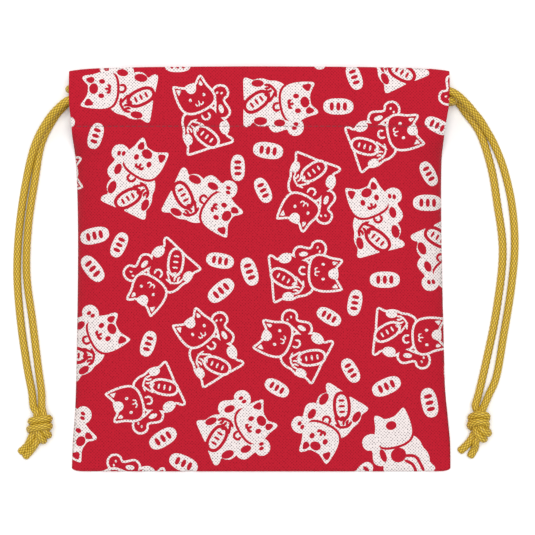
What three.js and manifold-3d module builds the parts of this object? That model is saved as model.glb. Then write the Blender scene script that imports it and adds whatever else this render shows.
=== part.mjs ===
// Small kinchaku: a flat drawstring pouch of printed cotton that lies on its back panel.
// Millimetres, +X across the pouch, +Y towards its mouth, +Z up from the surface it lies on.
// The origin is the middle of the cloth pouch, on that surface.
import * as THREE from "three";
import { mergeVertices } from "three/addons/utils/BufferGeometryUtils.js";
import Module from "manifold-3d";

// Cloth pouch
const TOP_Y = 85; // mouth edge, half of the 170 mm finished height
const CLOTH = 0.5; // thickness of one layer of cotton
const CHANNEL = 3.6; // height of the space that a casing keeps round its cords
const MOUTH_GAP = 4.6; // space between the front and the back casing
const CASING = CLOTH + CHANNEL + CLOTH;
const LOFT = CASING + MOUTH_GAP + CASING; // whole height at the mouth
const SEAM_LOFT = 2.2; // height at the side seams, where four layers meet
const STITCH_Y = 60; // casing stitch line, 25 mm below the mouth
const HEM_Y = 54; // raw edge of the turned-down mouth, inside
const SLIT_Y = 48; // top of the side seams, where the side slits start
const FOLD_Y = 83; // start of the round bottom fold
const CORNER_DROP = 2; // the mouth edge falls this much towards its corners

// Drawcords
const CORD_R = 1.6;
const CORD_SIDES = 8;
const CORD_STEPS = 84;

const wasm = await Module();
wasm.setup();

function toSolid(geometry) {
  const bare = geometry.clone();
  bare.deleteAttribute("normal");
  bare.deleteAttribute("uv");
  const merged = mergeVertices(bare, 1e-4);
  return new wasm.Manifold(
    new wasm.Mesh({
      numProp: 3,
      vertProperties: new Float32Array(merged.attributes.position.array),
      triVerts: new Uint32Array(merged.index.array),
    }),
  );
}

function toGeometry(solid) {
  const made = solid.getMesh();
  const positions = new Float32Array(made.numVert * 3);
  for (let i = 0; i < made.numVert; i++) {
    const start = i * made.numProp;
    positions.set(made.vertProperties.subarray(start, start + 3), i * 3);
  }
  return new THREE.BufferGeometry()
    .setAttribute("position", new THREE.BufferAttribute(positions, 3))
    .setIndex(new THREE.BufferAttribute(new Uint32Array(made.triVerts), 1));
}

function named(name, geometry, color, roughness) {
  const flat = geometry.index ? geometry.toNonIndexed() : geometry;
  flat.computeVertexNormals();
  const material = new THREE.MeshStandardMaterial({ color, roughness, metalness: 0 });
  const mesh = new THREE.Mesh(flat, material);
  mesh.name = name;
  return mesh;
}

// A smooth line through (y, value) pairs, held level past both ends.
function throughPoints(pairs) {
  return (y) => {
    const last = pairs.length - 1;
    if (y <= pairs[0][0]) return pairs[0][1];
    if (y >= pairs[last][0]) return pairs[last][1];
    const i = pairs.findIndex((pair) => pair[0] > y) - 1;
    const slope = (k) => {
      const before = pairs[Math.max(k - 1, 0)];
      const after = pairs[Math.min(k + 1, last)];
      return (after[1] - before[1]) / (after[0] - before[0]);
    };
    const [y0, v0] = pairs[i];
    const [y1, v1] = pairs[i + 1];
    const h = y1 - y0;
    const t = (y - y0) / h;
    const a = (2 * t ** 3 - 3 * t ** 2 + 1) * v0 + (t ** 3 - 2 * t ** 2 + t) * h * slope(i);
    const b = (3 * t ** 2 - 2 * t ** 3) * v1 + (t ** 3 - t ** 2) * h * slope(i + 1);
    return a + b;
  };
}

// The side edges draw in a little at mid height and flare at the mouth and the bottom.
const leftEdge = throughPoints([
  [-85, -79.9], [-71, -79.3], [-61, -78.5], [-38, -77.8], [9, -77.2],
  [38, -77.7], [60, -79.2], [72, -80.2], [85, -80.2],
]);
const rightEdge = throughPoints([
  [-85, 80.4], [-73, 80.2], [-63, 79.3], [-50, 78.1], [-38, 77.7], [9, 76.6],
  [38, 76.4], [57, 77.1], [69, 78.8], [78, 79.2], [85, 79.2],
]);

// Height of the front panel's outer face along the middle of the pouch.
const topHeight = throughPoints([
  [-85, 2.6], [-78, 3.6], [-65, 5.4], [-40, 7.4], [0, 9.4], [38, 11.6], [56, 13.5], [64, LOFT],
]);

function smoothstep(low, high, value) {
  const t = Math.min(Math.max((value - low) / (high - low), 0), 1);
  return t * t * (3 - 2 * t);
}

// Height of the front panel's outer face at side position s, from -1 at the left edge to 1.
function localHeight(y, s) {
  const full = topHeight(y);
  const panel = SEAM_LOFT + (full - SEAM_LOFT) * (1 - Math.abs(s) ** 8);
  return panel + (full - panel) * smoothstep(SLIT_Y - 6, STITCH_Y + 2, y);
}

// From the flat build, where X is s, to the pouch's real outline and loft.
function drape(geometry) {
  const at = geometry.attributes.position;
  for (let i = 0; i < at.count; i++) {
    const s = at.getX(i);
    const y = at.getY(i);
    const z = at.getZ(i);
    const full = topHeight(y);
    const frontShare = Math.min(Math.max((z - CLOTH) / (full - 2 * CLOTH), 0), 1);
    const drop = CORNER_DROP * (0.45 * s ** 2 + 0.55 * Math.abs(s) ** 12);
    const mouthShare = Math.min(Math.max((y - STITCH_Y) / (TOP_Y - STITCH_Y), 0), 1);
    const left = leftEdge(y);
    const right = rightEdge(y);
    at.setXYZ(
      i,
      (left + right) / 2 + (s * (right - left)) / 2,
      y - drop * mouthShare,
      z - frontShare * (full - localHeight(y, s)),
    );
  }
  return geometry;
}

// A (Y, Z) shape carried across the pouch through the given side positions.
function acrossPouch(shape, places) {
  const steps = places.length - 1;
  const geometry = new THREE.ExtrudeGeometry(shape, { depth: steps, steps, bevelEnabled: false });
  const at = geometry.attributes.position;
  for (let i = 0; i < at.count; i++) {
    at.setXYZ(i, places[Math.round(at.getZ(i))], at.getX(i), at.getY(i));
  }
  return drape(geometry);
}

// Places along the panels where the section has a corner, bottom to mouth.
const PANEL_YS = [-83, -78, -72, -65, -55, -42, -28, -14, 0, 14, 28, 38, 44, SLIT_Y, 51, HEM_Y];
// Side positions where the surface has a corner, from the middle to the edge of the seam.
const HALF_PLACES = [0.24, 0.48, 0.66, 0.8, 0.9, 0.966, 1];
const PLACES = [...HALF_PLACES.map((s) => -s).reverse(), 0, ...HALF_PLACES];

function halfCircle(centreY, centreZ, radius, steps, turn) {
  const points = [];
  for (let i = 0; i <= steps; i++) {
    const angle = turn * (-Math.PI / 2 + (Math.PI * i) / steps);
    points.push([centreY + radius * Math.cos(angle), centreZ + radius * Math.sin(angle)]);
  }
  return points;
}

function clothSection() {
  const foldCentre = TOP_Y - CASING / 2;
  const outer = [];
  for (const y of PANEL_YS) outer.push([y, 0]);
  outer.push([STITCH_Y, 0]);
  outer.push(...halfCircle(foldCentre, CASING / 2, CASING / 2, 6, 1));
  outer.push([STITCH_Y + 3, CASING]);
  outer.push([STITCH_Y - 0.5, 2 * CLOTH]);
  outer.push([HEM_Y, 2 * CLOTH]);
  for (const y of [...PANEL_YS].reverse()) outer.push([y, CLOTH]);
  for (const y of PANEL_YS) outer.push([y, topHeight(y) - CLOTH]);
  outer.push([HEM_Y, topHeight(HEM_Y) - 2 * CLOTH]);
  outer.push([STITCH_Y - 0.5, topHeight(STITCH_Y) - 2 * CLOTH]);
  outer.push([STITCH_Y + 3, LOFT - CASING]);
  outer.push(...halfCircle(foldCentre, LOFT - CASING / 2, CASING / 2, 6, 1));
  outer.push([64, LOFT]);
  outer.push([STITCH_Y, topHeight(STITCH_Y)]);
  for (const y of [...PANEL_YS].reverse()) outer.push([y, topHeight(y)]);
  const foldHeight = topHeight(-FOLD_Y);
  outer.push([-FOLD_Y - 1.4, foldHeight * 0.85]);
  outer.push([-TOP_Y, foldHeight * 0.5]);
  outer.push([-FOLD_Y - 1.4, foldHeight * 0.15]);

  const shape = new THREE.Shape(outer.map(([y, z]) => new THREE.Vector2(y, z)));
  const channelEnd = halfCircle(foldCentre, CASING / 2, CHANNEL / 2, 6, 1);
  const channel = [[STITCH_Y + 1, CLOTH], ...channelEnd, [STITCH_Y + 3.4, CASING - CLOTH]];
  const flipped = channel.map(([y, z]) => [y, Math.min(LOFT, topHeight(y)) - z]);
  for (const hole of [channel, flipped]) {
    shape.holes.push(new THREE.Path(hole.map(([y, z]) => new THREE.Vector2(y, z))));
  }
  return shape;
}

// The sewn side seam: it closes the panels' edge from the bottom fold up to the slit.
function sideSeam(side) {
  const places = HALF_PLACES.slice(-2).map((s) => s * side).sort((a, b) => a - b);
  const ys = PANEL_YS.filter((y) => y <= SLIT_Y);
  let solid = null;
  for (let i = 1; i < ys.length; i++) {
    const block = new THREE.Shape([
      new THREE.Vector2(ys[i - 1], 0),
      new THREE.Vector2(ys[i], 0),
      new THREE.Vector2(ys[i], topHeight(ys[i])),
      new THREE.Vector2(ys[i - 1], topHeight(ys[i - 1])),
    ]);
    const made = toSolid(acrossPouch(block, places));
    solid = solid ? solid.add(made) : made;
  }
  return solid;
}

// The inner casing layers stop short of the slits, and the cords turn round their ends.
function slitNotch(side) {
  const depth = 6;
  const low = CASING - CLOTH - 0.8;
  const high = LOFT - low;
  const box = new THREE.BoxGeometry(2 * depth, 26, high - low);
  return toSolid(box.translate(side * 79.8, STITCH_Y + 2 + 13, (low + high) / 2));
}

function pouchCloth() {
  let solid = toSolid(acrossPouch(clothSection(), PLACES));
  for (const side of [-1, 1]) {
    solid = solid.add(sideSeam(side));
    solid = solid.subtract(slitNotch(side));
  }
  return toGeometry(solid);
}

// Each cord: knot, outer strand, front casing, round turn in the far slit, back casing,
// inner strand, knot. The points are chosen by hand.
const FRONT_Z = LOFT - CASING / 2;
const BACK_Z = CASING / 2;
const FLOOR_Z = 1.72;
const LEFT_ROUTE = [
  [-95.6, -58.2, 4.3], [-96.5, -52.1, 2.6], [-98.5, -42.0, FLOOR_Z], [-101.4, -21.8, FLOOR_Z],
  [-102.9, -1.7, FLOOR_Z], [-101.9, 18.5, FLOOR_Z], [-98.9, 38.6, 1.8], [-96.4, 48.7, 3.8],
  [-94.6, 53.8, 4.9], [-92.1, 58.8, 5.9], [-88.0, 64.7, 8.0], [-84.7, 68.0, 9.8],
  [-80.6, 71.0, 11.2], [-74.0, 72.6, FRONT_Z], [-40.0, 72.9, FRONT_Z], [0.0, 73.0, FRONT_Z],
  [40.0, 72.4, FRONT_Z], [70.0, 71.2, FRONT_Z], [76.5, 71.0, FRONT_Z], [79.75, 70.9, 10.15],
  [81.1, 70.8, 6.9], [79.75, 70.7, 3.65], [76.5, 70.6, BACK_Z], [70.0, 70.9, BACK_Z],
  [40.0, 72.4, BACK_Z], [0.0, 73.0, BACK_Z], [-40.0, 72.9, BACK_Z], [-74.0, 72.6, BACK_Z],
  [-80.4, 71.3, 2.25], [-84.0, 68.2, 1.8], [-86.9, 64.7, FLOOR_Z], [-92.5, 53.8, FLOOR_Z],
  [-95.3, 38.6, FLOOR_Z], [-98.2, 18.5, FLOOR_Z], [-98.9, -1.7, FLOOR_Z],
  [-96.4, -21.8, FLOOR_Z], [-93.9, -42.0, FLOOR_Z], [-92.5, -52.1, 2.6], [-92.2, -58.2, 4.3],
];
const RIGHT_ROUTE = [
  [94.0, -58.0, 4.3], [96.4, -52.8, 2.8], [99.3, -46.5, 1.8], [102.9, -26.9, FLOOR_Z],
  [106.1, -6.7, FLOOR_Z], [107.5, 10.9, FLOOR_Z], [106.1, 28.6, FLOOR_Z], [102.5, 43.7, FLOOR_Z],
  [98.4, 53.8, 2.2], [95.4, 58.8, 3.8], [92.6, 63.0, 5.6], [89.6, 66.4, 7.3],
  [86.6, 69.7, 8.9], [80.6, 74.4, 11.1], [73.5, 75.8, FRONT_Z], [40.0, 76.4, FRONT_Z],
  [0.0, 76.6, FRONT_Z], [-40.0, 76.4, FRONT_Z], [-70.0, 76.1, FRONT_Z], [-75.9, 76.0, FRONT_Z],
  [-79.15, 76.0, 10.15], [-80.5, 76.0, 6.9], [-79.15, 76.0, 3.65], [-75.9, 76.0, BACK_Z],
  [-70.0, 76.1, BACK_Z], [-40.0, 76.4, BACK_Z], [0.0, 76.6, BACK_Z], [40.0, 76.4, BACK_Z],
  [73.5, 75.8, BACK_Z], [80.2, 74.4, 2.3], [83.6, 70.8, 2.0], [86.8, 66.4, FLOOR_Z],
  [92.3, 58.8, FLOOR_Z], [97.4, 43.7, FLOOR_Z], [100.0, 28.6, FLOOR_Z], [102.4, 8.4, FLOOR_Z],
  [99.8, -16.8, FLOOR_Z], [95.8, -37.0, FLOOR_Z], [92.0, -52.8, 2.8], [90.5, -58.0, 4.3],
];

function cord(route) {
  const path = new THREE.CatmullRomCurve3(route.map((point) => new THREE.Vector3(...point)));
  const section = new THREE.Shape();
  for (let i = 0; i < CORD_SIDES; i++) {
    const angle = (2 * Math.PI * (i + 0.5)) / CORD_SIDES;
    const place = [CORD_R * Math.cos(angle), CORD_R * Math.sin(angle)];
    if (i === 0) section.moveTo(...place);
    else section.lineTo(...place);
  }
  section.closePath();
  return new THREE.ExtrudeGeometry(section, { steps: CORD_STEPS, extrudePath: path });
}

// A round rod between two points.
function rod(from, to, radius) {
  const start = new THREE.Vector3(...from);
  const run = new THREE.Vector3(...to).sub(start);
  const turn = new THREE.Quaternion().setFromUnitVectors(
    new THREE.Vector3(0, 1, 0),
    run.clone().normalize(),
  );
  const geometry = new THREE.CylinderGeometry(radius, radius, run.length(), 10);
  const middle = start.addScaledVector(run, 0.5);
  return toSolid(geometry.applyQuaternion(turn).translate(middle.x, middle.y, middle.z));
}

// An overhand knot tied in both strands at once: a round body, two wraps, two cut tails.
function knot(centre, lean, strands, tails) {
  const body = new THREE.SphereGeometry(1, 14, 8).scale(4.6, 5.4, 4.2);
  const place = (geometry) => toSolid(geometry.rotateZ(lean).translate(...centre));
  let solid = place(body);
  for (const side of [-1, 1]) {
    const wrap = new THREE.TorusGeometry(3.9, 1.7, 7, 14).rotateX(Math.PI / 2);
    wrap.scale(1, 1, 0.83).rotateZ(0.3 * side + 0.1).translate(0, 2.1 * side, 0);
    solid = solid.add(place(wrap));
  }
  const inside = [centre[0], centre[1], centre[2]];
  for (const end of strands) solid = solid.add(rod(inside, end, CORD_R));
  for (const end of tails) solid = solid.add(rod(inside, end, CORD_R));
  return toGeometry(solid);
}

const group = new THREE.Group();
group.add(named("pouch_cloth", pouchCloth(), 0xbf2738, 0.95));
group.add(named("left_cord", cord(LEFT_ROUTE), 0xc4a241, 0.6));
group.add(named("right_cord", cord(RIGHT_ROUTE), 0xc4a241, 0.6));

const leftKnot = knot(
  [-93.6, -65.8, 4.7],
  -0.1,
  [[-95.5, -59.3, 4.4], [-92.2, -59.3, 4.4]],
  [[-100.6, -77.0, 2.4], [-98.4, -78.6, 2.0]],
);
const rightKnot = knot(
  [92.2, -65.4, 4.7],
  0.1,
  [[93.6, -59.3, 4.5], [90.4, -59.4, 4.5]],
  [[84.4, -75.6, 2.1], [88.9, -77.8, 1.9]],
);
group.add(named("left_knot", leftKnot, 0xc4a241, 0.6));
group.add(named("right_knot", rightKnot, 0xc4a241, 0.6));

export default group;
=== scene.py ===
import math

import bpy
import mathutils
import numpy as np
from mathutils.geometry import delaunay_2d_cdt
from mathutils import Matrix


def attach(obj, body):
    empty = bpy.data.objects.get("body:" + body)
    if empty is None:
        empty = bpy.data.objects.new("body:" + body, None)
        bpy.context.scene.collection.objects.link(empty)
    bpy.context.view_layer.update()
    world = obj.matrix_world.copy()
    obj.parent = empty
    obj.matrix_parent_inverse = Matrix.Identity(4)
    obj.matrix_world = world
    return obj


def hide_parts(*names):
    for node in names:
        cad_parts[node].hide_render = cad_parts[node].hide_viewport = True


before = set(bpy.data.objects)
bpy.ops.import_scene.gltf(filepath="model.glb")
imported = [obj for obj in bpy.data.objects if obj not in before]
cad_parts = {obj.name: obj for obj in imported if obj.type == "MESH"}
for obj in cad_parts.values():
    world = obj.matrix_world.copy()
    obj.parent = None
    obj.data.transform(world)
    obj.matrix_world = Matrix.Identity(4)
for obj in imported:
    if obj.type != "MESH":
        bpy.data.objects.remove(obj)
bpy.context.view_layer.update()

MM = 0.001

# Driving sizes, in millimetres, as in the part's source.
TOP_Y = 85.0
STITCH_Y = 60.0
SLIT_Y = 48.0
CORD_D = 3.2
FLOOR_Z = 1.72
FRONT_Z = 11.5
BACK_Z = 2.3


# -------------------- colours and materials

def colour(hex_code):
    """An sRGB hex value as linear RGBA."""
    def channel(start):
        c = int(hex_code[start:start + 2], 16) / 255
        return c / 12.92 if c <= 0.04045 else ((c + 0.055) / 1.055) ** 2.4
    return (channel(1), channel(3), channel(5), 1.0)


def add_node(tree, kind, settings=None, links=None):
    """Adds a node: settings sets its inputs and properties, links joins other nodes' outputs to it."""
    node = tree.nodes.new(kind)
    for key, value in (settings or {}).items():
        if isinstance(key, int) or key in node.inputs:
            node.inputs[key].default_value = value
        else:
            setattr(node, key, value)
    for key, source in (links or {}).items():
        tree.links.new(source, node.inputs[key])
    return node


def maths(tree, operation, *inputs):
    """A Math node's output. Each input is a number or another node's output."""
    settings = {"operation": operation}
    links = {}
    for place, value in enumerate(inputs):
        (settings if isinstance(value, float) else links)[place] = value
    return add_node(tree, "ShaderNodeMath", settings, links).outputs[0]


def shaded(tree, factor, *stops):
    """The colour that a factor picks between (position, hex) stops."""
    ramp = add_node(tree, "ShaderNodeValToRGB", links={0: factor})
    for element, (position, hex_code) in zip(ramp.color_ramp.elements, stops):
        element.position = position
        element.color = colour(hex_code)
    return ramp.outputs[0]


def new_material(name, **settings):
    """A material with these shader inputs, a double underscore standing for a space."""
    material = bpy.data.materials.new(name)
    material.use_nodes = True
    tree = material.node_tree
    shader = tree.nodes["Principled BSDF"]
    for key, value in settings.items():
        shader.inputs[key.replace("__", " ")].default_value = value
    return material, tree, shader


def surface(tree, shader, base_colour, height, **relief):
    """Joins a colour and a relief, its distance in metres, to the shader."""
    tree.links.new(base_colour, shader.inputs["Base Color"])
    bump = add_node(tree, "ShaderNodeBump", relief, {"Height": height})
    tree.links.new(bump.outputs[0], shader.inputs["Normal"])


def new_mesh(name, verts, faces, materials, rim=0):
    """A mesh from vertices in millimetres, smooth apart from its last faces, which are its rim."""
    mesh = bpy.data.meshes.new(name)
    mesh.from_pydata((np.array(verts) * MM).tolist(), [], faces)
    mesh.polygons.foreach_set("use_smooth", np.arange(len(faces)) < len(faces) - rim)
    for material in materials:
        mesh.materials.append(material)
    return mesh


def new_object(name, data):
    made = bpy.data.objects.new(name, data)
    bpy.context.collection.objects.link(made)
    return made


# -------------------- camera, light and floor

# The view's width in millimetres, and the height above the floor at which it is that wide.
VIEW_WIDTH = 224.7
VIEW_LEVEL = 8.0
VIEW_CENTRE = (2.94, 1.05)
LENS = 150.0
SENSOR = 36.0
FLOOR_SIZE = 3.0
ROOM_LIGHT = 0.45
# Square lamps aimed at the pouch: name, place and size in metres, and power in watts.
LAMPS = [
    ("overhead_box", (0.05, 0.1, 1.5), 0.9, 17.0),
    ("side_box", (-0.55, 0.8, 0.9), 0.5, 2.4),
]


def make_camera():
    data = bpy.data.cameras.new("camera")
    data.lens = LENS
    data.sensor_width = SENSOR
    data.sensor_fit = "HORIZONTAL"
    height = VIEW_WIDTH * LENS / SENSOR + VIEW_LEVEL
    camera = new_object("camera", data)
    camera.location = (VIEW_CENTRE[0] * MM, VIEW_CENTRE[1] * MM, height * MM)
    bpy.context.scene.camera = camera


def make_studio():
    bpy.ops.mesh.primitive_plane_add(size=FLOOR_SIZE, location=(0, 0, 0))
    floor = bpy.context.object
    floor.name = "floor"
    # Matt white card: it gives the eye a bare bright ground with soft shadows.
    material = new_material("white_card_floor", Base__Color=colour("#FFFFFF"), Roughness=0.9)[0]
    floor.data.materials.append(material)

    world = bpy.data.worlds.new("white_room")
    world.use_nodes = True
    background = world.node_tree.nodes["Background"]
    background.inputs["Color"].default_value = (1, 1, 1, 1)
    background.inputs["Strength"].default_value = ROOM_LIGHT
    bpy.context.scene.world = world

    for name, place, size, power in LAMPS:
        data = bpy.data.lights.new(name, "AREA")
        data.shape = "SQUARE"
        data.size = size
        data.energy = power
        light = new_object(name, data)
        light.location = place
        aim = mathutils.Vector((0, 0, 0)) - light.location
        light.rotation_euler = aim.to_track_quat("-Z", "Y").to_euler()
    bpy.context.scene.view_settings.view_transform = "Standard"


make_camera()
make_studio()


# -------------------- cords

# The drawcords' routes, in millimetres, from the knot round through the casings and back.
LEFT_ROUTE = [
    (-95.6, -58.2, 4.3), (-96.5, -52.1, 2.6), (-98.5, -42, FLOOR_Z), (-101.4, -21.8, FLOOR_Z),
    (-102.9, -1.7, FLOOR_Z), (-101.9, 18.5, FLOOR_Z), (-98.9, 38.6, 1.8), (-96.4, 48.7, 3.8),
    (-94.6, 53.8, 4.9), (-92.1, 58.8, 5.9), (-88, 64.7, 8), (-84.7, 68, 9.8), (-80.6, 71, 11.2),
    (-74, 72.6, FRONT_Z), (-40, 72.9, FRONT_Z), (0, 73, FRONT_Z), (40, 72.4, FRONT_Z),
    (70, 71.2, FRONT_Z), (76.5, 71, FRONT_Z), (79.75, 70.9, 10.15), (81.1, 70.8, 6.9),
    (79.75, 70.7, 3.65), (76.5, 70.6, BACK_Z), (70, 70.9, BACK_Z), (40, 72.4, BACK_Z),
    (0, 73, BACK_Z), (-40, 72.9, BACK_Z), (-74, 72.6, BACK_Z), (-80.4, 71.3, 2.25),
    (-84, 68.2, 1.8), (-86.9, 64.7, FLOOR_Z), (-92.5, 53.8, FLOOR_Z), (-95.3, 38.6, FLOOR_Z),
    (-98.2, 18.5, FLOOR_Z), (-98.9, -1.7, FLOOR_Z), (-96.4, -21.8, FLOOR_Z),
    (-93.9, -42, FLOOR_Z), (-92.5, -52.1, 2.6), (-92.2, -58.2, 4.3),
]
RIGHT_ROUTE = [
    (94, -58, 4.3), (96.4, -52.8, 2.8), (99.3, -46.5, 1.8), (102.9, -26.9, FLOOR_Z),
    (106.1, -6.7, FLOOR_Z), (107.5, 10.9, FLOOR_Z), (106.1, 28.6, FLOOR_Z),
    (102.5, 43.7, FLOOR_Z), (98.4, 53.8, 2.2), (95.4, 58.8, 3.8), (92.6, 63, 5.6),
    (89.6, 66.4, 7.3), (86.6, 69.7, 8.9), (80.6, 74.4, 11.1), (73.5, 75.8, FRONT_Z),
    (40, 76.4, FRONT_Z), (0, 76.6, FRONT_Z), (-40, 76.4, FRONT_Z), (-70, 76.1, FRONT_Z),
    (-75.9, 76, FRONT_Z), (-79.15, 76, 10.15), (-80.5, 76, 6.9), (-79.15, 76, 3.65),
    (-75.9, 76, BACK_Z), (-70, 76.1, BACK_Z), (-40, 76.4, BACK_Z), (0, 76.6, BACK_Z),
    (40, 76.4, BACK_Z), (73.5, 75.8, BACK_Z), (80.2, 74.4, BACK_Z), (83.6, 70.8, 2),
    (86.8, 66.4, FLOOR_Z), (92.3, 58.8, FLOOR_Z), (97.4, 43.7, FLOOR_Z), (100, 28.6, FLOOR_Z),
    (102.4, 8.4, FLOOR_Z), (99.8, -16.8, FLOOR_Z), (95.8, -37, FLOOR_Z), (92, -52.8, 2.8),
    (90.5, -58, 4.3),
]


CURVE_POINTS = 40


def step_lengths(line):
    return np.linalg.norm(np.diff(line, axis=0), axis=1)


def distances(line):
    """Each point's distance along the line."""
    return np.concatenate([[0], np.cumsum(step_lengths(line))])


def unit(vectors):
    """The vectors in their last axis, each at a length of 1."""
    return vectors / np.linalg.norm(vectors, axis=-1)[..., None]


def with_leads(points):
    """The points with one more past each end, for a curve through all of them."""
    p = np.array(points, float)
    return np.vstack([2 * p[0] - p[1], p, 2 * p[-1] - p[-2]])


def smooth_line(points, step):
    """A centripetal Catmull-Rom line through the points, with a point every step along it."""
    p = with_leads(points)
    knots = np.concatenate([[0], np.cumsum(step_lengths(p) ** 0.5)])
    fine = []
    for i in range(1, len(p) - 2):
        t0, t1, t2, t3 = knots[i - 1:i + 3]
        t = np.linspace(t1, t2, CURVE_POINTS, endpoint=False)[:, None]
        a1 = ((t1 - t) * p[i - 1] + (t - t0) * p[i]) / (t1 - t0)
        a2 = ((t2 - t) * p[i] + (t - t1) * p[i + 1]) / (t2 - t1)
        a3 = ((t3 - t) * p[i + 1] + (t - t2) * p[i + 2]) / (t3 - t2)
        b1 = ((t2 - t) * a1 + (t - t0) * a2) / (t2 - t0)
        b2 = ((t3 - t) * a2 + (t - t1) * a3) / (t3 - t1)
        fine.append(((t2 - t) * b1 + (t - t1) * b2) / (t2 - t1))
    fine.append(p[-2][None])
    return evenly(np.vstack(fine), step)


def evenly(line, step):
    """The line again, with points a step apart."""
    along = distances(line)
    count = max(int(round(along[-1] / step)), 2)
    at = np.linspace(0, along[-1], count + 1)
    return np.stack([np.interp(at, along, line[:, k]) for k in range(3)], 1)


BRAID_CELLS = 8
BRAID_PITCH = 1.05
BRAID_BUMP = 0.13
CORD_SIDES = 24
RING_STEP = 0.3
# A cut end is drawn in by this share over this length, and its cap stands out by this share of a step.
END_TAPER = 0.28
END_LENGTH = 0.9
CAP_BULGE = 0.8


def carried_sides(tangent):
    """A direction square to each tangent, carried along the line without twisting."""
    side = np.cross(tangent[0], (0, 0, 1.0))
    sides = []
    for t in tangent:
        side = side - t * side.dot(t)
        side /= np.linalg.norm(side)
        sides.append(side)
    return np.array(sides)


def angles_round(count):
    return np.arange(count) * 2 * np.pi / count


def tube_rings(line, radii):
    """Rings of points round a line, with a radius for each place round each ring."""
    tangent = unit(np.gradient(line, axis=0))
    side = carried_sides(tangent)
    other = np.cross(tangent, side)
    ring = angles_round(radii.shape[1])
    out = np.cos(ring)[None, :, None] * side[:, None] + np.sin(ring)[None, :, None] * other[:, None]
    return line[:, None] + out * radii[:, :, None]


def braided_rings(line, squeeze):
    """The rings of a round braid along a line, drawn in at both ends, and their distances."""
    along = distances(line)
    around = BRAID_CELLS / 2 * angles_round(CORD_SIDES)
    turn = along[:, None] * math.pi / (2 * BRAID_PITCH)
    bumps = np.abs(np.sin(around[None] + turn) * np.sin(around[None] - turn))
    radii = CORD_D / 2 - BRAID_BUMP + 2 * BRAID_BUMP * bumps
    near_end = np.minimum(along, along[-1] - along)
    radii *= ((1 - END_TAPER * np.clip(1 - near_end / END_LENGTH, 0, 1) ** 2) * squeeze)[:, None]
    return tube_rings(line, radii), along


def cord_piece(name, stretches):
    """One object of closed tubes, each made of its rings and their distances along the whole cord."""
    verts = []
    faces = []
    places = []
    for rings, along in stretches:
        base = len(verts)
        middles = rings.mean(1)
        ends = [
            middles[0] + (middles[0] - middles[1]) * CAP_BULGE,
            middles[-1] + (middles[-1] - middles[-2]) * CAP_BULGE,
        ]
        verts += rings.reshape(-1, 3).tolist() + [end.tolist() for end in ends]
        start_cap = base + len(rings) * CORD_SIDES
        last = start_cap - CORD_SIDES
        for j in range(CORD_SIDES):
            k = (j + 1) % CORD_SIDES
            turns = (j / CORD_SIDES, (j + 1) / CORD_SIDES)
            for i in range(len(rings) - 1):
                a = base + i * CORD_SIDES
                b = a + CORD_SIDES
                faces.append((a + j, a + k, b + k, b + j))
                low, high = along[i:i + 2]
                places += [(turns[0], low), (turns[1], low), (turns[1], high), (turns[0], high)]
            faces.append((start_cap, base + k, base + j))
            places += [(turns[0], along[0]), (turns[1], along[0]), (turns[0], along[0])]
            faces.append((start_cap + 1, last + j, last + k))
            places += [(turns[0], along[-1]), (turns[0], along[-1]), (turns[1], along[-1])]
    mesh = new_mesh(name, verts, faces, [GOLD])
    uv = mesh.uv_layers.new(name="braid")
    uv.uv.foreach_set("vector", np.array(places, np.float32).ravel())
    return new_object(name, mesh)


def cord_material():
    # Braided rayon or polyester cord: fine glossy yarns in a close round braid, plain gold on the
    # crowns of the yarns, with painted shade in brown-gold where they dive under each other.
    material, tree, shader = new_material(
        "gold_braided_cord_with_painted_shade", Roughness=0.5, Specular__IOR__Level=0.3,
    )
    uv = add_node(tree, "ShaderNodeUVMap", {"uv_map": "braid"})
    split = add_node(tree, "ShaderNodeSeparateXYZ", links={0: uv.outputs[0]})
    around = maths(tree, "MULTIPLY", split.outputs["X"], math.pi * BRAID_CELLS)
    turn = maths(tree, "MULTIPLY", split.outputs["Y"], math.pi / (2 * BRAID_PITCH))
    waves = []
    for operation in ("ADD", "SUBTRACT"):
        wave = maths(tree, "SINE", maths(tree, operation, around, turn))
        waves.append(maths(tree, "ABSOLUTE", wave))
    crown = maths(tree, "MULTIPLY", *waves)
    # The gold is painted darker in the dips between the yarns, as shade; the same crowns drive the bump.
    gold = shaded(tree, crown, (0.0, "#86650C"), (0.75, "#E1BD40"))
    surface(tree, shader, gold, crown, Strength=0.35, Distance=0.0002)
    return material


GOLD = cord_material()


# -------------------- knots

# A braid squashes where it is pulled tight. The section stays round here, so strands in a knot,
# which lie closer than a diameter, sink into each other.
KNOT_GAP = 2.3
# The loose knot's size and height, how far it stops short of a half turn, and how often it is eased.
KNOT_SCALE = 4.6
KNOT_LIFT = 7.0
KNOT_OPEN = 0.6
KNOT_EASINGS = 60
# Tightening: rounds with the ends pulled, then passes of rounds that shorten the strands.
PULL_ROUNDS = 1200
SHRINK_PASSES = 9
SHRINK_ROUNDS = 300
# The tight knot's reach, and how far from its middle the line is eased and squeezed.
KNOT_BODY = 6.9
KNOT_EASED = 14
KNOT_TIGHT = 4.5
KNOT_FADE = 4
KNOT_SQUEEZE = 0.98
KNOT_STRETCH = (1.2, 1.38, 1.02)
KNOT_LEAN = -17.0


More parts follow.
